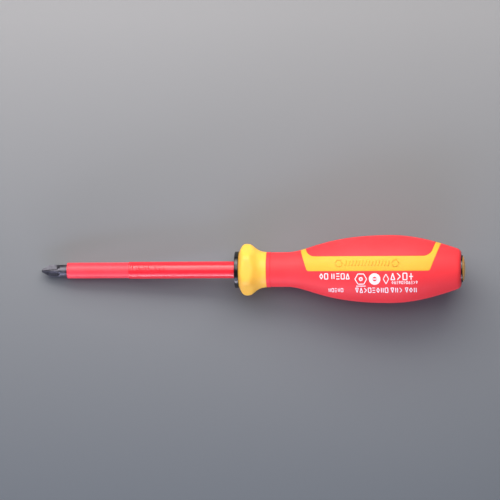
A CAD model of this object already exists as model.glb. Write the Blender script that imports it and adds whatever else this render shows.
import math
import random

import bmesh
import bpy
import numpy as np
from mathutils import Matrix, Vector


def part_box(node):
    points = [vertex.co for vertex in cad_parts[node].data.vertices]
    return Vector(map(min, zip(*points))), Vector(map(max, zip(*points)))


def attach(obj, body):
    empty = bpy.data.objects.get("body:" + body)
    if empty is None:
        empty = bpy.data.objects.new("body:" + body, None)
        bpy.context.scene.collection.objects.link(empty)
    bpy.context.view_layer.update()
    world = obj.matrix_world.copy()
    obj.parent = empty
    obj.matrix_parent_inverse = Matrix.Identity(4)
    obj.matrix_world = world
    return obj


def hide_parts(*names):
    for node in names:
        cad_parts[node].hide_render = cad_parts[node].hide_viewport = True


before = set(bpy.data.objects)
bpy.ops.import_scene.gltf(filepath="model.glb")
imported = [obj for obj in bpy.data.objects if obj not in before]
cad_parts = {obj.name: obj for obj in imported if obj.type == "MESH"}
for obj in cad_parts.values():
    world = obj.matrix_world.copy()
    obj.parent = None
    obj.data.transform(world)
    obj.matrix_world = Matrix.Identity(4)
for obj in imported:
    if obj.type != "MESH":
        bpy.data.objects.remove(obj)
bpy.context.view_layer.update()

mm = 0.001


# sRGB hex value to a linear colour
def linear(hexValue):
    channels = [int(hexValue[i:i + 2], 16) / 255 for i in (1, 3, 5)]
    return [c / 12.92 if c <= 0.04045 else ((c + 0.055) / 1.055) ** 2.4 for c in channels] + [1.0]


# adds one shader node: settings are its properties or inputs, links are input name -> output socket
def addNode(tree, kind, settings=None, links=None):
    node = tree.nodes.new("ShaderNode" + kind)
    for name, value in (settings or {}).items():
        if hasattr(node, name):
            setattr(node, name, value)
        else:
            node.inputs[name].default_value = value
    for name, socket in (links or {}).items():
        tree.links.new(socket, node.inputs[name])
    return node


# an empty material with one Principled shader, ready for its pattern
def newMaterial(name, settings):
    material = bpy.data.materials.new(name)
    material.use_nodes = True
    tree = material.node_tree
    tree.nodes.clear()
    shader = addNode(tree, "BsdfPrincipled", settings)
    addNode(tree, "OutputMaterial", links={"Surface": shader.outputs[0]})
    return material, tree, shader


# a moulded plastic: colour drifts a little over centimetres, the mould's spark-eroded grain is a fine bump,
# drawn coarser than the real one so that it shows, and handling leaves the gloss slightly uneven
def mouldedPlastic(name, look):
    material, tree, shader = newMaterial(name, {
        "Base Color": linear(look["colour"]),
        "Roughness": look["roughness"],
        "Subsurface Weight": look.get("glowThrough", 0.0),
        "Subsurface Radius": look.get("glowRadius", (1.0, 0.3, 0.15)),
        "Subsurface Scale": 0.8 * mm,
        "Specular IOR Level": look.get("specular", 0.5),
    })
    place = addNode(tree, "TexCoord").outputs["Object"]
    drift = addNode(tree, "TexNoise", {"Scale": 1 / (look["driftSize"] * mm), "Detail": 3.0},
                    {"Vector": place})
    tint = addNode(tree, "ValToRGB", links={"Fac": drift.outputs["Fac"]})
    tint.color_ramp.elements[0].position = 0.3
    tint.color_ramp.elements[0].color = linear(look["deepColour"])
    tint.color_ramp.elements[1].position = 0.7
    tint.color_ramp.elements[1].color = linear(look["colour"])
    tree.links.new(tint.outputs["Color"], shader.inputs["Base Color"])
    grain = addNode(tree, "TexNoise", {"Scale": 1 / (look["grainSize"] * mm), "Detail": 2.0},
                    {"Vector": place})
    handled = addNode(tree, "MapRange", {
        "From Min": 0.3, "From Max": 0.7,
        "To Min": look["roughness"] - look["glossDrift"], "To Max": look["roughness"] + look["glossDrift"],
    }, {"Value": grain.outputs["Fac"]})
    tree.links.new(handled.outputs["Result"], shader.inputs["Roughness"])
    bump = addNode(tree, "Bump", {
        "Strength": look["grainStrength"], "Distance": look["grainDepth"] * mm,
    }, {"Height": grain.outputs["Fac"]})
    tree.links.new(bump.outputs["Normal"], shader.inputs["Normal"])
    return material


# soft grip elastomer: fine matte grain that scatters the light softly, a deep saturated red
gripElastomer = mouldedPlastic("gripElastomer", {
    "colour": "#e73c43", "deepColour": "#e1373e", "roughness": 0.5, "glossDrift": 0.05, "driftSize": 18,
    "grainSize": 0.35, "grainDepth": 0.03, "grainStrength": 0.35, "glowThrough": 0.12,
    "specular": 0.17,
})
# hard satin polypropylene of the guard: waxy, a little light passes into it
guardPlastic = mouldedPlastic("guardPolypropylene", {
    "colour": "#f0ba4b", "deepColour": "#edb545", "roughness": 0.45, "glossDrift": 0.04, "driftSize": 14,
    "grainSize": 0.3, "grainDepth": 0.02, "grainStrength": 0.25, "glowThrough": 0.25, "specular": 0.3,
    "glowRadius": (1.0, 0.6, 0.1),
})
# the inlay is the same stock from another mould, with a finer, flatter face
inlayPlastic = mouldedPlastic("inlayPolypropylene", {
    "colour": "#e2ad3c", "deepColour": "#dfa836", "roughness": 0.5, "glossDrift": 0.04, "driftSize": 14,
    "grainSize": 0.3, "grainDepth": 0.02, "grainStrength": 0.25, "glowThrough": 0.2, "specular": 0.2,
    "glowRadius": (1.0, 0.6, 0.1),
})
# plug turned out of a smoother mould, slightly browner
plugPlastic = mouldedPlastic("plugPolypropylene", {
    "colour": "#dca44a", "deepColour": "#d49a3e", "roughness": 0.35, "glossDrift": 0.03, "driftSize": 8,
    "grainSize": 0.3, "grainDepth": 0.015, "grainStrength": 0.2, "glowThrough": 0.15,
    "glowRadius": (1.0, 0.6, 0.1),
})
# soft insulating compound: matter than the sleeve, with a faint bloom
insulationPlastic = mouldedPlastic("insulationCompound", {
    "colour": "#e83c4a", "deepColour": "#e23745", "roughness": 0.42, "glossDrift": 0.05, "driftSize": 9,
    "grainSize": 0.4, "grainDepth": 0.02, "grainStrength": 0.35, "glowThrough": 0.15, "specular": 0.35,
})
# outer sleeve, moulded in a polished tool: long clean highlights
sleevePlastic = mouldedPlastic("sleevePolyamide", {
    "colour": "#e52a38", "deepColour": "#df2634", "roughness": 0.24, "glossDrift": 0.02, "driftSize": 12,
    "grainSize": 0.9, "grainDepth": 0.01, "grainStrength": 0.15, "glowThrough": 0.08,
})
# glass-filled polyamide core, polished where it shows
corePlastic = mouldedPlastic("corePolyamide", {
    "colour": "#17181a", "deepColour": "#101113", "roughness": 0.22, "glossDrift": 0.03, "driftSize": 6,
    "grainSize": 0.4, "grainDepth": 0.01, "grainStrength": 0.2,
})
# pad-printed ink: flat white with a slightly broken edge
printInk = mouldedPlastic("padPrintInk", {
    "colour": "#ece4e6", "deepColour": "#e2d6d9", "roughness": 0.5, "glossDrift": 0.05, "driftSize": 3,
    "grainSize": 0.25, "grainDepth": 0.01, "grainStrength": 0.3,
})


# chrome-vanadium steel, centreless ground then burnished dark: rings round the bar, drawn wider apart than
# the real ones so that they show, and a cloudy oxide
def groundSteel(look):
    material, tree, shader = newMaterial("burnishedSteel", {"Metallic": 1.0, "Roughness": look["roughness"]})
    place = addNode(tree, "TexCoord").outputs["Object"]
    stretched = addNode(tree, "Mapping", {"Scale": (1.0, 0.06, 0.06)}, {"Vector": place})
    rings = addNode(tree, "TexNoise", {"Scale": 1 / (look["ringSpacing"] * mm), "Detail": 3.0},
                    {"Vector": stretched.outputs["Vector"]})
    clouds = addNode(tree, "TexNoise", {"Scale": 1 / (look["cloudSize"] * mm), "Detail": 4.0},
                     {"Vector": place})
    oxide = addNode(tree, "ValToRGB", links={"Fac": clouds.outputs["Fac"]})
    oxide.color_ramp.elements[0].position = 0.32
    oxide.color_ramp.elements[0].color = linear(look["darkOxide"])
    oxide.color_ramp.elements[1].position = 0.68
    oxide.color_ramp.elements[1].color = linear(look["bareMetal"])
    tree.links.new(oxide.outputs["Color"], shader.inputs["Base Color"])
    worn = addNode(tree, "MapRange", {
        "From Min": 0.3, "From Max": 0.7,
        "To Min": look["roughness"] - look["polish"], "To Max": look["roughness"] + look["wear"],
    }, {"Value": rings.outputs["Fac"]})
    tree.links.new(worn.outputs["Result"], shader.inputs["Roughness"])
    bump = addNode(tree, "Bump", {"Strength": 0.3, "Distance": look["ringDepth"] * mm},
                   {"Height": rings.outputs["Fac"]})
    tree.links.new(bump.outputs["Normal"], shader.inputs["Normal"])
    return material


bladeSteel = groundSteel({
    "darkOxide": "#45454c", "bareMetal": "#6a6971", "roughness": 0.52, "polish": 0.08, "wear": 0.1,
    "ringSpacing": 0.25, "ringDepth": 0.01, "cloudSize": 3.5,
})
print("finishes made")


# a finished mesh becomes a piece that rides with the tool; edges sharper than the crease angle stay sharp
def makePiece(name, bm, material, nodes, crease=35):
    for face in bm.faces:
        face.smooth = True
    mesh = bpy.data.meshes.new(name)
    bm.to_mesh(mesh)
    bm.free()
    mesh.materials.append(material)
    mesh.set_sharp_from_angle(angle=math.radians(crease))
    piece = bpy.data.objects.new(name, mesh)
    bpy.context.scene.collection.objects.link(piece)
    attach(piece, "root")
    if nodes:
        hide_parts(*nodes)
    return piece


# each corner is (x, radius, rounding); a corner with no rounding stays sharp
def roundedProfile(corners, segments=5):
    points = []
    for k, (x, r, rounding) in enumerate(corners):
        if not rounding:
            points.append((x, r))
            continue
        here = Vector((x, r))
        before = (Vector(corners[k - 1][:2]) - here).normalized() * rounding
        after = (Vector(corners[(k + 1) % len(corners)][:2]) - here).normalized() * rounding
        for step in range(segments + 1):
            t = step / segments
            points.append(tuple(here + before * (1 - t) ** 2 + after * t ** 2))
    return points


# turns a profile of (x, radius) in millimetres about the tool's axis
def turned(points, steps, closed=True):
    bm = bmesh.new()
    line = [bm.verts.new((x * mm, 0, r * mm)) for x, r in points]
    ends = line[1:] + (line[:1] if closed else [])
    edges = [bm.edges.new(pair) for pair in zip(line, ends)]
    bmesh.ops.spin(bm, geom=line + edges, cent=(0, 0, 0), axis=(1, 0, 0), angle=2 * math.pi,
                   steps=steps, use_merge=True)
    bmesh.ops.remove_doubles(bm, verts=bm.verts, dist=0.001 * mm)
    bmesh.ops.recalc_face_normals(bm, faces=bm.faces)
    return bm


# values from start up to, but not including, end, about one step apart
def evenly(start, end, step):
    count = max(1, round((end - start) / step))
    return [start + (end - start) * k / count for k in range(count)]


# rounds the edges that meet at more than forty degrees
def finishEdges(piece, width, segments=3):
    bevel = piece.modifiers.new("edgeRounding", "BEVEL")
    bevel.width = width * mm
    bevel.segments = segments
    bevel.limit_method = "ANGLE"
    bevel.angle_limit = math.radians(40)
    bevel.loop_slide = False
    piece.modifiers.new("evenShading", "WEIGHTED_NORMAL")


# steel bar with its cross point; the rest of the bar is hidden in the insulation
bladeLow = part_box("blade")[0]
blade = {
    "tip": bladeLow.x / mm, "radius": 3.0, "point": 0.75, "halfAngle": 28.0, "nose": 0.15, "end": -60.0,
    "fluteAngle": 92.0, "tipDepth": 0.36, "shoulderDepth": 0.95, "endDepth": 1.2, "fluteEnd": -92.6,
    "runOut": 1.5, "rootSoftness": 9.0, "edgeWidth": 0.05, "tipRing": 0.35,
    "runOutShare": 1.02,  # of the bar's radius, where a flute's run-out ends
    "wingRows": 13.5,  # mesh rows, in degrees from a wing's middle, that become its edge
    "widestWing": 38.0, "coneStep": 0.25, "fluteStep": 0.12, "steps": 160,
    "hiddenRows": [-90.5, -89.0, -87.0, -80.0],
}
shoulder = blade["tip"] + (blade["radius"] - blade["point"]) / math.tan(math.radians(blade["halfAngle"]))


# distance from the axis to the bottom of a flute
def fluteDepth(x):
    if x > blade["fluteEnd"]:
        t = min(1.0, (x - blade["fluteEnd"]) / blade["runOut"])
        climb = blade["radius"] * blade["runOutShare"] - blade["endDepth"]
        return blade["endDepth"] + climb * (1 - math.sqrt(1 - t * t))
    return float(np.interp(x, [blade["tip"], shoulder, blade["fluteEnd"]],
                           [blade["tipDepth"], blade["shoulderDepth"], blade["endDepth"]]))


coneStations = evenly(blade["tip"] + blade["nose"], shoulder, blade["coneStep"])
fluteStations = evenly(shoulder, blade["fluteEnd"] + blade["runOut"], blade["fluteStep"])
barOutline = [
    (blade["tip"], 0.0), (blade["tip"], blade["tipRing"]), (blade["tip"], blade["point"] - blade["nose"]),
]
for x in coneStations:
    barOutline.append((x, np.interp(x, [blade["tip"], shoulder], [blade["point"], blade["radius"]])))
barOutline += [(x, blade["radius"]) for x in fluteStations + blade["hiddenRows"] + [blade["end"]]]
bm = turned(barOutline + [(blade["end"], 0.0)], blade["steps"])
half = math.radians(blade["fluteAngle"] / 2)
for vert in bm.verts:
    x, radius = vert.co.x / mm, math.hypot(vert.co.y, vert.co.z) / mm
    if x > blade["fluteEnd"] + blade["runOut"] or radius < 0.01:
        continue
    around = math.degrees(math.atan2(vert.co.y, vert.co.z))
    middle = round(around / 90) * 90
    depth = fluteDepth(x)
    edge = 45 - math.degrees(half - math.asin(min(1.0, depth * math.sin(half) / max(radius, depth))))
    edge = min(edge, blade["widestWing"])
    fromWing = float(np.interp(abs(around - middle), [0, blade["wingRows"], 45], [0, edge, 45]))
    fromRoot = math.hypot(45 - fromWing, blade["rootSoftness"]) - blade["rootSoftness"]
    radius = min(radius, depth * math.sin(half) / math.sin(half - math.radians(fromRoot)))
    turn = math.radians(middle + math.copysign(fromWing, around - middle))
    vert.co = Vector((x, radius * math.sin(turn), radius * math.cos(turn))) * mm
bladePiece = makePiece("crossBlade", bm, bladeSteel, ["blade"])
finishEdges(bladePiece, blade["edgeWidth"], 2)

# insulating tube, stepped down where the outer sleeve sits on it
tubeLow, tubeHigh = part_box("blade_insulation")
sleeveLow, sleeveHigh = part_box("marked_sleeve")
tube = {
    "front": tubeLow.x / mm, "radius": tubeHigh.z / mm, "bore": 3.0, "rim": 0.6, "lead": 1.5, "gap": 0.05,
    "seatStart": sleeveLow.x / mm, "seatRadius": 3.7, "end": tubeHigh.x / mm, "steps": 96,
}
bm = turned(roundedProfile([
    (tube["front"], tube["bore"] + tube["gap"], 0.15), (tube["front"], tube["radius"], tube["rim"]),
    (tube["seatStart"], tube["radius"], 0), (tube["seatStart"], tube["seatRadius"], 0),
    (tube["end"], tube["seatRadius"], 0), (tube["end"], tube["bore"], 0),
    (tube["front"] + tube["lead"], tube["bore"], 0),
], 6), tube["steps"])
makePiece("insulationTube", bm, insulationPlastic, ["blade_insulation"])

sleeve = {
    "front": sleeveLow.x / mm, "end": sleeveHigh.x / mm, "radius": sleeveHigh.z / mm, "rim": 0.18,
}
bm = turned(roundedProfile([
    (sleeve["front"], tube["seatRadius"], 0), (sleeve["front"], sleeve["radius"], sleeve["rim"]),
    (sleeve["end"], sleeve["radius"], 0), (sleeve["end"], tube["seatRadius"], 0),
]), tube["steps"])
makePiece("outerSleeve", bm, sleevePlastic, ["marked_sleeve"])
print("blade and insulation made")

# black core: collar in front, ring behind
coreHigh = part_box("handle_core")[1]
gripLow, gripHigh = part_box("grip_body")
guardLow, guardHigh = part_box("hand_guard")
core = {
    "collarRadius": 9.4, "collarRounding": 0.45, "lead": 0.35, "leadWidth": 0.5, "seat": 6.5, "throat": 4.45,
    "ringRadius": 7.0, "ringRounding": 0.25, "ringEnd": coreHigh.x / mm, "plugBore": 6.2, "plugDepth": 6.0,
    "innerRadius": 9.0, "widenStart": 6.0, "widenEnd": 25.0,  # behind the guard
    "narrowStart": 12.0, "narrowEnd": 6.0,  # before the red end
    "steps": 128,
}
guardFront, guardEnd = guardLow.x / mm, guardHigh.x / mm
gripEnd = gripHigh.x / mm
bm = turned(roundedProfile([
    (core["lead"], core["throat"], 0.2), (0.0, core["throat"] + core["leadWidth"], 0.25),
    (0.0, core["collarRadius"], core["collarRounding"]),
    (guardFront, core["collarRadius"], 0.2), (guardFront, core["seat"], 0),
    (guardEnd + core["widenStart"], core["seat"], 0), (guardEnd + core["widenEnd"], core["innerRadius"], 0),
    (gripEnd - core["narrowStart"], core["innerRadius"], 0),
    (gripEnd - core["narrowEnd"], core["ringRadius"], 0),
    (core["ringEnd"], core["ringRadius"], core["ringRounding"]), (core["ringEnd"], core["plugBore"], 0.1),
    (core["ringEnd"] - core["plugDepth"], core["plugBore"], 0),
    (core["ringEnd"] - core["plugDepth"], core["throat"], 0),
], 6), core["steps"])
makePiece("mouldedCore", bm, corePlastic, ["handle_core"])

# pressed-in plug with a shallow dome
plugLow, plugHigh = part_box("end_plug")
plug = {
    "radius": plugHigh.z / mm, "top": plugHigh.x / mm, "edge": core["ringEnd"], "straight": 0.3,
    "stem": 5.0, "stemStart": plugLow.x / mm, "steps": 96,
}
crown = plug["top"] - plug["edge"] - plug["straight"]
domeRadius = (plug["radius"] ** 2 + crown ** 2) / (2 * crown)
dome = []
for k in range(17):
    r = plug["radius"] * k / 16
    dome.append((plug["top"] - domeRadius + math.sqrt(domeRadius ** 2 - r ** 2), r))
bm = turned(dome[:-1] + roundedProfile([
    dome[-1] + (0.25,), (plug["edge"], plug["radius"], 0.1), (plug["edge"], plug["stem"], 0),
    (plug["stemStart"], plug["stem"], 0), (plug["stemStart"], 0.0, 0), dome[0] + (0,),
])[:-1], plug["steps"])
makePiece("endPlug", bm, plugPlastic, ["end_plug"])
print("core and plug made")


# one coordinate of a cubic curve
def bezier(a, b, c, d, t):
    return a * (1 - t) ** 3 + 3 * b * (1 - t) ** 2 * t + 3 * c * (1 - t) * t ** 2 + d * t ** 3


# yellow guard: a turned flare drawn in to a rounded hexagon, corners at the sides, flats above and below
guard = {
    "front": guardFront, "end": guardEnd, "bore": core["seat"], "cornerRadius": guardHigh.y / mm,
    "cornerRounding": 3.6, "turnedExtra": 0.15, "frontLand": 7.5, "frontRadius": 8.6, "rearRadius": 9.1,
    "rearLand": 7.8, "crest": 4.4, "edgeSoftness": 0.7, "edgeWidth": 0.15, "steps": 288,
    "frontPulls": (0.19, 0.45), "frontRise": 0.4,  # how full the nose is
    "rearPulls": (0.29, 0.43),  # how long the flank stays high
}


# distance from the axis to the edge of the rounded hexagon
def hexagonRadius(angle):
    corner = guard["cornerRadius"]
    rounding = guard["cornerRounding"]
    centre = corner - rounding
    flat = centre * math.cos(math.radians(30)) + rounding
    away = abs((math.degrees(angle) + 30) % 60 - 30)  # from the nearest corner
    toFlat = flat / math.cos(math.radians(30 - away))
    if flat * math.tan(math.radians(30 - away)) <= centre * math.sin(math.radians(30)):
        return toFlat
    a = math.radians(away)
    return centre * math.cos(a) + math.sqrt(rounding ** 2 - (centre * math.sin(a)) ** 2)


# the smaller of two values, blended where they are close
def softMinimum(a, b, softness):
    h = max(softness - abs(a - b), 0.0) / softness
    return min(a, b) - h * h * softness / 4


crestX = guard["front"] + guard["crest"]
fall = guard["end"] - crestX
turnedRadius = guard["cornerRadius"] + guard["turnedExtra"]
flare = []
for k in range(25):
    t = k / 24
    flare.append((
        bezier(guard["front"], guard["front"] + guard["frontPulls"][0] * guard["crest"],
               guard["front"] + guard["frontPulls"][1] * guard["crest"], crestX, t),
        bezier(guard["frontRadius"],
               guard["frontRadius"] + guard["frontRise"] * (turnedRadius - guard["frontRadius"]),
               turnedRadius, turnedRadius, t),
    ))
for k in range(1, 41):
    t = k / 40
    flare.append((
        bezier(crestX, crestX + guard["rearPulls"][0] * fall, crestX + guard["rearPulls"][1] * fall,
               guard["end"], t),
        bezier(turnedRadius, turnedRadius, guard["rearRadius"], guard["rearRadius"], t),
    ))
bm = turned(
    [(guard["front"], guard["bore"]), (guard["front"], guard["frontLand"])] + flare
    + [(guard["end"], guard["rearLand"]), (guard["end"], guard["bore"])], guard["steps"],
)
for vert in bm.verts:
    radius = math.hypot(vert.co.y, vert.co.z) / mm
    if radius > guard["rearRadius"]:
        limit = hexagonRadius(math.atan2(vert.co.z, vert.co.y))
        scale = softMinimum(radius, limit, 2 * guard["edgeSoftness"]) / radius
        vert.co.y *= scale
        vert.co.z *= scale
guardPiece = makePiece("handGuard", bm, guardPlastic, ["hand_guard"])
finishEdges(guardPiece, guard["edgeWidth"])
print("guard made")

# red grip, inlay and saddle: one turned skin, its mesh lines drawn onto the inlay's edges, then parted
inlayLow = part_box("inlay_frame")[0]
grip = {
    "start": gripLow.x / mm, "end": gripEnd, "lipLength": 2.3, "lipRadius": 9.05, "neckRadius": 8.9,
    "neckLength": 7.8, "grooveDepth": 0.15, "bellyRadius": -gripLow.y / mm, "bellyStation": 80.0,
    "endRadius": 9.8, "endSlope": 0.33, "endRounding": 2.3, "endDrop": 0.95, "ringGap": 7.25,
    "skin": 2.0, "lipFlat": 0.35, "lipShoulder": 0.3, "lipCorner": 0.15, "lipDrop": 0.05,
    "partingWidth": 0.22, "tailLength": 4.5, "frontFade": 0.7, "rearFade": 8.0,
    "neckStart": 0.7, "neckStep": 0.6, "sideStep": 0.55, "armStep": 0.5, "barStep": 0.75, "steps": 240,
    "frontPulls": (0.215, 0.652), "rearPulls": (0.39, 0.28),  # how full the belly's sides are
}
inlay = {
    "barStart": 37.6, "barEnd": 100.8, "lower": inlayLow.y / mm, "barWidth": 7.7, "armWidth": 2.95,
    "frontLean": 18.1, "rearLean": 21.3, "innerRounding": 3.0, "outerRounding": 1.0,
    "innerReach": (8.0, 2.6), "outerReach": (2.2, 3.0),  # how far a rounding is felt inside and outside it
    "cornerRange": 12.0,  # nothing further than this from a corner slides
    "lowRow": -3.0, "highRow": 24.0,  # mesh rows, in degrees above the level, that become the bar's edges
}
neckEnd = grip["start"] + grip["lipLength"] + grip["neckLength"]
rise = grip["bellyStation"] - neckEnd
drop = grip["end"] - grip["bellyStation"]
sideX, sideR = [grip["start"], neckEnd], [grip["neckRadius"]] * 2
for k in range(1, 201):
    t = k / 200
    sideX.append(bezier(neckEnd, neckEnd + grip["frontPulls"][0] * rise,
                        grip["bellyStation"] - grip["frontPulls"][1] * rise, grip["bellyStation"], t))
    sideR.append(bezier(grip["neckRadius"], grip["neckRadius"], grip["bellyRadius"], grip["bellyRadius"], t))
for k in range(1, 201):
    t = k / 200
    sideX.append(bezier(grip["bellyStation"], grip["bellyStation"] + grip["rearPulls"][0] * drop,
                        grip["end"] - grip["rearPulls"][1] * drop, grip["end"], t))
    sideR.append(bezier(grip["bellyRadius"], grip["bellyRadius"],
                        grip["endRadius"] + grip["rearPulls"][1] * drop * grip["endSlope"],
                        grip["endRadius"], t))


# distance from the axis to the grip's skin
def sideRadius(x):
    return float(np.interp(x, sideX, sideR))


upper = inlay["lower"] + inlay["barWidth"]
frontOuter, rearOuter = inlay["barStart"], inlay["barEnd"]
frontInner, rearInner = frontOuter + inlay["armWidth"], rearOuter - inlay["armWidth"]
tailStart = grip["end"] - grip["tailLength"]
frontTan, rearTan = math.tan(math.radians(inlay["frontLean"])), math.tan(math.radians(inlay["rearLean"]))

# the skin's outline: lip band, groove, neck, belly, rounded end
lipEnd = grip["start"] + grip["lipLength"]
grooveRadius = grip["neckRadius"] - grip["grooveDepth"]
bandStations = evenly(grip["start"], lipEnd - grip["lipFlat"], grip["armStep"])
skinOutline = [(x, grip["lipRadius"]) for x in bandStations]
skinOutline += [
    (lipEnd - grip["lipShoulder"], grip["lipRadius"]),
    (lipEnd - grip["lipCorner"], grip["lipRadius"] - grip["lipDrop"]),
    (lipEnd - grip["lipDrop"], grooveRadius), (lipEnd + grip["lipCorner"], grooveRadius),
    (lipEnd + grip["lipShoulder"], grip["neckRadius"]),
]
cornerStart = grip["end"] - grip["endRounding"]
stations = []
for start, end, step in (
    (lipEnd + grip["neckStart"], neckEnd, grip["neckStep"]), (neckEnd, frontOuter, grip["sideStep"]),
    (frontOuter, frontInner, grip["armStep"]), (frontInner, rearInner, grip["barStep"]),
    (rearInner, rearOuter, grip["armStep"]), (rearOuter, tailStart, grip["sideStep"]),
    (tailStart, cornerStart, grip["armStep"]),
):
    stations += evenly(start, end, step)
skinOutline += [(x, sideRadius(x)) for x in stations]
for k in range(9):
    t = k / 8
    skinOutline.append((
        cornerStart * (1 - t) ** 2 + 2 * grip["end"] * (1 - t) * t + grip["end"] * t ** 2,
        sideRadius(cornerStart) * (1 - t) ** 2 + 2 * grip["endRadius"] * (1 - t) * t
        + (grip["endRadius"] - grip["endDrop"] * grip["endRounding"]) * t ** 2,
    ))
skinOutline.append((grip["end"], grip["ringGap"]))

bm = turned(skinOutline, grip["steps"], closed=False)
for face in bm.faces:
    centre = face.calc_center_median()
    x, level = centre.x / mm, math.degrees(math.atan2(centre.y, abs(centre.z)))
    if frontInner < x < rearInner and level > inlay["highRow"]:
        face.material_index = 2
    elif frontOuter < x < rearOuter and level > inlay["lowRow"]:
        face.material_index = 1


# slides a point near a corner of an outline onto concentric arcs; p and q run inwards from the corner's sides
def roundCorner(p, q, rounding, reach):
    m = min(p, q)
    radius = rounding * max(0.0, 1 - max(m / reach[0], -m / reach[1]))
    along = max(p - m, q - m)
    if radius <= 0 or along >= radius:
        return p, q
    bend = math.radians(45) * (1 - along / radius)
    near, far = m + radius * (1 - math.cos(bend)), m + radius * (1 - math.sin(bend))
    return (far, near) if q == m else (near, far)


# how far a mesh line at station a leans at height y, as the arms do
def leanShift(a, y):
    over = max(0.0, y - inlay["lower"])
    front, rear = -over * frontTan, over * rearTan
    if a <= frontOuter:
        return front * max(0.0, (a - neckEnd) / (frontOuter - neckEnd))
    if a >= rearOuter:
        return rear * max(0.0, (tailStart - a) / (tailStart - rearOuter))
    share = min(1.0, max(0.0, (a - frontInner) / (rearInner - frontInner)))
    return front * (1 - share) + rear * share


for vert in bm.verts:
    a = vert.co.x / mm
    if not lipEnd < a < cornerStart:
        continue
    side = 1 if vert.co.z >= 0 else -1
    level = math.degrees(math.atan2(vert.co.y, abs(vert.co.z)))
    blend = min(1.0, (a - lipEnd) / (grip["frontFade"] * (frontOuter - lipEnd)),
                (cornerStart - a) / grip["rearFade"])
    x = a
    for attempt in range(6):
        r = sideRadius(x)
        edges = [math.degrees(math.asin(inlay["lower"] / r)), math.degrees(math.asin(upper / r))]
        rows = [-90, inlay["lowRow"], inlay["highRow"], 90]
        drawn = float(np.interp(level, rows, [-90, edges[0], edges[1], 90]))
        y = r * math.sin(math.radians(level + (drawn - level) * blend))
        station = a
        for corner, height, way, rounding, reach in (
            (frontOuter, inlay["lower"], 1, inlay["outerRounding"], inlay["outerReach"]),
            (rearOuter, inlay["lower"], -1, inlay["outerRounding"], inlay["outerReach"]),
            (frontInner, upper, 1, inlay["innerRounding"], inlay["innerReach"]),
            (rearInner, upper, -1, inlay["innerRounding"], inlay["innerReach"]),
        ):
            p, q = (a - corner) * way, y - height
            if max(abs(p), abs(q)) < inlay["cornerRange"]:
                newP, newQ = roundCorner(p, q, rounding, reach)
                station += (newP - p) * way
                y += newQ - q
        x = station + leanShift(station, y)
    r = sideRadius(x)
    y = max(-r, min(r, y))
    vert.co = Vector((x, y, side * math.sqrt(r * r - y * y))) * mm


# a copy of the skin that keeps only the faces with that material index
def parted(source, index):
    piece = source.copy()
    others = [face for face in piece.faces if face.material_index != index]
    bmesh.ops.delete(piece, geom=others, context="FACES")
    for face in piece.faces:
        face.material_index = 0
    return piece


for name, index, material, node, slot in (
    ("gripSkin", 0, gripElastomer, "grip_body", "grip_red"),
    ("inlayFrame", 1, inlayPlastic, "inlay_frame", "inlay_yellow"),
    ("saddlePanel", 2, gripElastomer, "saddle_panel", "grip_red"),
):
    piece = makePiece(name, parted(bm, index), material, [node])
    wall = piece.modifiers.new("skinWall", "SOLIDIFY")
    wall.thickness = grip["skin"] * mm
    wall.offset = -1
    finishEdges(piece, grip["partingWidth"])
bm.free()
print("grip, inlay and saddle made")


# one straight stroke in the side view, from (x0, y0) to (x1, y1), as a thin grid
def stroke(bm, x0, y0, x1, y1, width, cell=0.5):
    length = math.hypot(x1 - x0, y1 - y0)
    cells = max(1, math.ceil(length / cell))
    place = Matrix.Translation(((x0 + x1) / 2 * mm, (y0 + y1) / 2 * mm, 0))
    place = place @ Matrix.Rotation(math.atan2(y1 - y0, x1 - x0), 4, "Z")
    place = place @ Matrix.Diagonal((length / 2 * mm, width / 2 * mm, 1, 1))
    bmesh.ops.create_grid(bm, x_segments=cells, y_segments=2, size=1, matrix=place)


# gives flat strokes a thickness and lays them on the surface of that radius along the tool
def layOn(bm, radiusAt, height, sink=0.04):
    top = bmesh.ops.extrude_face_region(bm, geom=bm.faces[:])
    raised = {v for v in top["geom"] if isinstance(v, bmesh.types.BMVert)}
    for vert in bm.verts:
        x, y = vert.co.x / mm, vert.co.y / mm
        r = radiusAt(x) + (height if vert in raised else -sink)
        vert.co.z = math.sqrt(max(0.0, r * r - y * y)) * mm
    bmesh.ops.recalc_face_normals(bm, faces=bm.faces)


# the strokes (x0, y0, x1, y1) that join points into a ring
def outlined(points):
    return [a + b for a, b in zip(points, points[1:] + points[:1])]


# plain geometric signs in a cell one unit wide and high: none of them is a letter or a figure
signs = [
    outlined([(0, 0), (1, 0), (1, 1), (0, 1)]),
    outlined([(0, 0), (1, 0), (0.5, 1)]),
    outlined([(0.5, 0), (1, 0.5), (0.5, 1), (0, 0.5)]),
    [(0.15, 0, 0.15, 1), (0.85, 0, 0.85, 1)],
    [(0, 0.5, 1, 0.5), (0.5, 0, 0.5, 1)],
    [(0, 0, 1, 0), (0, 0.5, 1, 0.5), (0, 1, 1, 1)],
    [(0.1, 0, 0.9, 0.5), (0.9, 0.5, 0.1, 1)],
    outlined([(0, 1), (1, 1), (0.5, 0)]),
]


# a sign's width and gap are shares of its line's height, and wordGap is a share of the sign's width
signSize = {"width": 0.6, "gap": 0.34, "wordGap": 0.6}


# fills one printed line with signs and leaves a wider gap now and then
def signRow(bm, line, draw):
    x = line["x0"]
    cell = line["height"] * signSize["width"]
    gap = line["height"] * signSize["gap"]
    last = None
    while x + cell <= line["x1"]:
        if line.get("words") and draw.random() < line["words"]:
            x += cell * signSize["wordGap"]
            continue
        last = draw.choice([sign for sign in signs if sign is not last])
        for u0, v0, u1, v1 in last:
            stroke(bm, x + u0 * cell, line["y0"] + v0 * line["height"],
                   x + u1 * cell, line["y0"] + v1 * line["height"], line["width"])
        x += cell + gap


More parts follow.
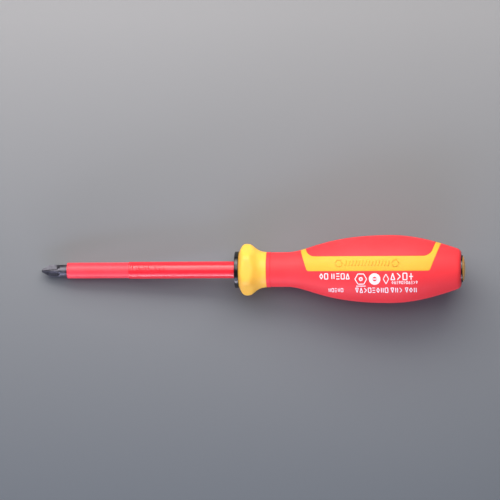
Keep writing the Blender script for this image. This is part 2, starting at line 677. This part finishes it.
draw = random.Random(7)
bm = bmesh.new()
printLines = [
    {"x0": 44.4, "x1": 60.6, "y0": -4.9, "height": 2.7, "width": 0.48, "words": 0.1},
    {"x0": 48.8, "x1": 56.6, "y0": -11.5, "height": 1.7, "width": 0.36},
    {"x0": 81.0, "x1": 95.3, "y0": -5.4, "height": 3.3, "width": 0.54, "words": 0.1},
    {"x0": 81.0, "x1": 95.2, "y0": -7.5, "height": 1.3, "width": 0.28, "words": 0.12},
    {"x0": 62.8, "x1": 95.2, "y0": -11.9, "height": 2.3, "width": 0.43, "words": 0.12},
]
for line in printLines:
    signRow(bm, line, draw)


# the corners of a regular figure
def ringPoints(x, y, radius, count):
    turns = [2 * math.pi * k / count for k in range(count)]
    return [(x + radius * math.cos(t), y + radius * math.sin(t)) for t in turns]


# strokes along every side of a closed figure
def closedStroke(bm, points, width):
    for x0, y0, x1, y1 in outlined(points):
        stroke(bm, x0, y0, x1, y1, width)


# plain pictograms: a six-sided plate with a dot, a filled disc with a slot, a slender diamond
pictograms = {
    "row": -5.0, "line": 0.45, "inkHeight": 0.03,
    "plateX": 65.6, "plateRadius": 3.0, "dotRadius": 0.75, "dotLine": 0.7, "barHalf": 2.4, "barDrop": 3.6,
    "discX": 72.7, "discRings": (2.65, 2.05, 1.45), "discLine": 0.66, "slotHalf": 1.0, "slotLine": 0.55,
    "diamondX": 78.5, "diamondWidth": 1.4, "diamondHeight": 2.5, "diamondLine": 0.4,
}
row, line = pictograms["row"], pictograms["line"]
plateX, discX, diamondX = pictograms["plateX"], pictograms["discX"], pictograms["diamondX"]
barHalf, barY, slotHalf = pictograms["barHalf"], row - pictograms["barDrop"], pictograms["slotHalf"]
closedStroke(bm, ringPoints(plateX, row, pictograms["plateRadius"], 6), line)
closedStroke(bm, ringPoints(plateX, row, pictograms["dotRadius"], 12), pictograms["dotLine"])
stroke(bm, plateX - barHalf, barY, plateX + barHalf, barY, line)
for radius in pictograms["discRings"]:
    closedStroke(bm, ringPoints(discX, row, radius, 32), pictograms["discLine"])
stroke(bm, discX - slotHalf, row, discX + slotHalf, row, pictograms["slotLine"])
closedStroke(bm, [
    (diamondX, row - pictograms["diamondHeight"]), (diamondX + pictograms["diamondWidth"], row),
    (diamondX, row + pictograms["diamondHeight"]), (diamondX - pictograms["diamondWidth"], row),
], pictograms["diamondLine"])
layOn(bm, sideRadius, pictograms["inkHeight"])
makePiece("sizePrint", bm, printInk, [])

# raised on the inlay: slanted bars between two six-sided rings
inlayMarks = {
    "barsStart": 57.6, "barsEnd": 81.2, "pitch": 1.7, "foot": 1.9, "head": 4.7, "slant": 0.8, "width": 0.5,
    "ringX": (54.2, 83.2), "ringY": 3.3, "ringRadius": 1.9, "ringWidth": 0.45, "height": 0.28,
}
bm = bmesh.new()
for x in evenly(inlayMarks["barsStart"], inlayMarks["barsEnd"], inlayMarks["pitch"]):
    stroke(bm, x, inlayMarks["foot"], x + inlayMarks["slant"], inlayMarks["head"], inlayMarks["width"])
for x in inlayMarks["ringX"]:
    ring = ringPoints(x, inlayMarks["ringY"], inlayMarks["ringRadius"], 6)
    closedStroke(bm, ring, inlayMarks["ringWidth"])
layOn(bm, sideRadius, inlayMarks["height"])
makePiece("inlayRelief", bm, inlayPlastic, [], crease=180)

# raised on the sleeve: upright bars of uneven place and length
sleeveMarks = {
    "start": 0.9, "end": 19.5, "pitch": 1.15, "feet": (-1.5, -0.9, 0.4), "lengths": (1.6, 2.6),
    "width": 0.42, "height": 0.22,
}
bm = bmesh.new()
for x in evenly(sleeve["front"] + sleeveMarks["start"], sleeve["front"] + sleeveMarks["end"],
                sleeveMarks["pitch"]):
    foot = draw.choice(sleeveMarks["feet"])
    stroke(bm, x, foot, x, foot + draw.choice(sleeveMarks["lengths"]), sleeveMarks["width"])
layOn(bm, lambda x: sleeve["radius"], sleeveMarks["height"])
makePiece("sleeveRelief", bm, sleevePlastic, [], crease=180)
print("marks made")

# floor, light and camera
studio = {
    "guardStation": 8.5, "guardRest": 12.13,  # where the guard's flat rests, and its distance from the axis
    "centre": (7.75, 10.15), "viewWidth": 257.4, "viewDistance": 2600.0, "roll": -0.3,
    "air": "#dfe6ff", "airStrength": 0.04,
    "paperTop": "#848587", "paperBottom": "#60656a", "paperSpan": 260.0, "fibre": 1.2, "fibreDepth": 0.05,
}
# way is 1 on the far side of the tool and -1 on the near side; aside is a shift along the tool, negative
# towards the point
lamps = {
    "keySoftbox": {"way": 1, "distance": 500.0, "elevation": 38.0, "aside": -130.0,
                   "size": (900.0, 280.0), "power": 3.9, "colour": "#fff8f2"},
    "topSoftbox": {"way": 1, "distance": 900.0, "elevation": 62.0, "aside": -130.0,
                   "size": (1300.0, 800.0), "power": 11.0, "colour": "#fffdfc"},
    "fillSoftbox": {"way": -1, "distance": 600.0, "elevation": 8.0, "aside": -230.0,
                    "size": (900.0, 100.0), "power": 4.2, "colour": "#f0ecff"},
    "stripSoftbox": {"way": -1, "distance": 600.0, "elevation": 30.0, "aside": -200.0,
                     "size": (1000.0, 125.0), "power": 1.9, "colour": "#cfdaff"},
}
# the tool lies on its belly and its guard, so the floor leans against its axis
tilt = math.atan2(grip["bellyRadius"] - studio["guardRest"], grip["bellyStation"] - studio["guardStation"])
floorUp = Vector((math.sin(tilt), 0, math.cos(tilt)))
bellyRest = Vector((grip["bellyStation"] * mm, 0, -grip["bellyRadius"] * mm))
floorTurn = Matrix.Rotation(tilt, 4, "Y")

bm = bmesh.new()
bmesh.ops.create_grid(bm, x_segments=2, y_segments=2, size=3.0)
bmesh.ops.transform(bm, matrix=Matrix.Translation(bellyRest) @ floorTurn, verts=bm.verts)
floorMesh = bpy.data.meshes.new("studioFloor")
bm.to_mesh(floorMesh)
bm.free()
floor = bpy.data.objects.new("studioFloor", floorMesh)
bpy.context.scene.collection.objects.link(floor)
# seamless backdrop paper, sprayed a little darker and cooler towards the viewer's end
paper, paperTree, paperShader = newMaterial("backdropPaper", {"Roughness": 0.85, "Specular IOR Level": 0.1})
paperPlace = addNode(paperTree, "TexCoord").outputs["Object"]
along = addNode(paperTree, "SeparateXYZ", links={"Vector": paperPlace}).outputs["Y"]
graded = addNode(paperTree, "MapRange", {
    "From Min": -studio["paperSpan"] / 2 * mm, "From Max": studio["paperSpan"] / 2 * mm,
}, {"Value": along})
shade = addNode(paperTree, "ValToRGB", links={"Fac": graded.outputs["Result"]})
shade.color_ramp.elements[0].color = linear(studio["paperBottom"])
shade.color_ramp.elements[1].color = linear(studio["paperTop"])
fibre = addNode(paperTree, "TexNoise", {"Scale": 1 / (studio["fibre"] * mm), "Detail": 4.0},
                {"Vector": paperPlace})
paperBump = addNode(paperTree, "Bump", {"Strength": 0.1, "Distance": studio["fibreDepth"] * mm},
                    {"Height": fibre.outputs["Fac"]})
paperTree.links.new(shade.outputs["Color"], paperShader.inputs["Base Color"])
paperTree.links.new(paperBump.outputs["Normal"], paperShader.inputs["Normal"])
floorMesh.materials.append(paper)


# a soft lamp that looks at the tool's axis
def softbox(name, lamp):
    data = bpy.data.lights.new(name, "AREA")
    data.shape = "RECTANGLE"
    data.size, data.size_y = lamp["size"][0] * mm, lamp["size"][1] * mm
    data.energy = lamp["power"]
    data.color = linear(lamp["colour"])[:3]
    box = bpy.data.objects.new(name, data)
    e = math.radians(lamp["elevation"])
    aim = Vector(((studio["centre"][0] + lamp["aside"]) * mm, 0, 0))
    direction = floorTurn.to_3x3() @ Vector((0, lamp["way"] * math.cos(e), math.sin(e)))
    box.location = aim + direction * lamp["distance"] * mm
    box.rotation_euler = direction.to_track_quat("Z", "Y").to_euler()
    bpy.context.scene.collection.objects.link(box)


for name, lamp in lamps.items():
    softbox(name, lamp)

world = bpy.data.worlds.new("studioAir")
bpy.context.scene.world = world
world.use_nodes = True
air = world.node_tree.nodes["Background"]
air.inputs["Color"].default_value = linear(studio["air"])
air.inputs["Strength"].default_value = studio["airStrength"]

cameraData = bpy.data.cameras.new("studioCamera")
cameraData.sensor_width = 36.0
cameraData.lens = cameraData.sensor_width * studio["viewDistance"] / studio["viewWidth"]
cameraData.clip_end = 20.0
camera = bpy.data.objects.new("studioCamera", cameraData)
seen = Vector((studio["centre"][0] * mm, studio["centre"][1] * mm, 0))
camera.location = seen + floorUp * studio["viewDistance"] * mm
turn = Matrix.Rotation(tilt, 3, "Y") @ Matrix.Rotation(math.radians(studio["roll"]), 3, "Z")
camera.rotation_euler = turn.to_euler()
bpy.context.scene.collection.objects.link(camera)
bpy.context.scene.camera = camera
bpy.context.scene.view_settings.view_transform = "Standard"
print("studio made")
